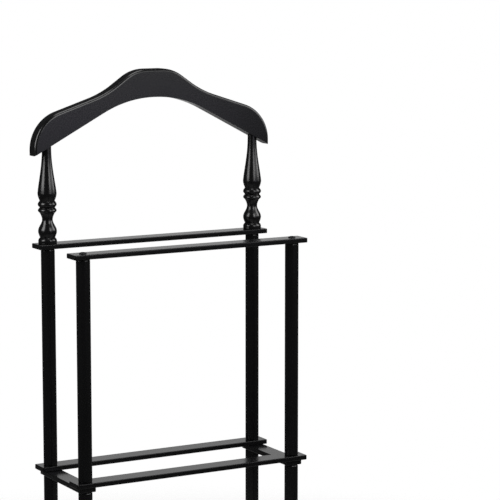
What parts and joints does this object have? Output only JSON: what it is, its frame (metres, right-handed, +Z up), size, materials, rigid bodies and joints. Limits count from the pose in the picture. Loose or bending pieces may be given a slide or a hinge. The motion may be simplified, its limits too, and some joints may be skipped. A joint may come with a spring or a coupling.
{
  "type": "double valet stand",
  "caption": "Free-standing wooden valet stand: a contoured coat hanger on turned posts, a rear and a front trouser bar, an open middle level and a slatted shoe base.",
  "frame": {"origin": "centre of the footprint, on the floor", "axes": "+Z up, X along the trouser bars and the hanger, the front bar towards -Y and the hanger towards +Y"},
  "size_m": [0.441, 0.3, 1.0744],
  "materials": {
    "black_lacquer": "satin",
    "black_steel": "satin",
    "zinc_steel": "satin",
    "black_plastic": "matte"
  },
  "bodies": {
    "root": {"hanger": "black_lacquer", "turned_post_left": "black_lacquer", "turned_post_right": "black_lacquer", "trouser_bar_front": "black_lacquer", "trouser_bar_rear": "black_lacquer", "upper_post_front_left": "black_lacquer", "upper_post_front_right": "black_lacquer", "upper_post_rear_left": "black_lacquer", "upper_post_rear_right": "black_lacquer", "middle_slat_front": "black_lacquer", "middle_slat_rear": "black_lacquer", "side_rail_left": "black_lacquer", "side_rail_right": "black_lacquer", "lower_post_front_left": "black_lacquer", "lower_post_front_right": "black_lacquer", "lower_post_rear_left": "black_lacquer", "lower_post_rear_right": "black_lacquer", "base_slat_front": "black_lacquer", "base_slat_middle": "black_lacquer", "base_slat_rear": "black_lacquer", "base_runner_left": "black_lacquer", "base_runner_right": "black_lacquer", "glide_front_left": "black_plastic", "glide_front_right": "black_plastic", "glide_rear_left": "black_plastic", "glide_rear_right": "black_plastic", "cap_bolt_left": "black_steel", "cap_bolt_right": "black_steel", "base_bolt_front_left": "black_steel", "base_bolt_front_right": "black_steel", "base_bolt_rear_left": "black_steel", "base_bolt_rear_right": "black_steel", "slat_screw_left": "black_steel", "slat_screw_right": "black_steel", "top_stud_left": "zinc_steel", "top_stud_right": "zinc_steel", "middle_stud_front_left": "zinc_steel", "middle_stud_front_right": "zinc_steel", "middle_stud_rear_left": "zinc_steel", "middle_stud_rear_right": "zinc_steel", "insert_turned_left": "zinc_steel", "insert_turned_right": "zinc_steel", "insert_upper_head_front_left": "zinc_steel", "insert_upper_head_front_right": "zinc_steel", "insert_upper_head_rear_left": "zinc_steel", "insert_upper_head_rear_right": "zinc_steel", "insert_upper_foot_front_left": "zinc_steel", "insert_upper_foot_front_right": "zinc_steel", "insert_upper_foot_rear_left": "zinc_steel", "insert_upper_foot_rear_right": "zinc_steel", "insert_lower_head_front_left": "zinc_steel", "insert_lower_head_front_right": "zinc_steel", "insert_lower_head_rear_left": "zinc_steel", "insert_lower_head_rear_right": "zinc_steel", "insert_lower_foot_front_left": "zinc_steel", "insert_lower_foot_front_right": "zinc_steel", "insert_lower_foot_rear_left": "zinc_steel", "insert_lower_foot_rear_right": "zinc_steel"}
  },
  "joints": []
}
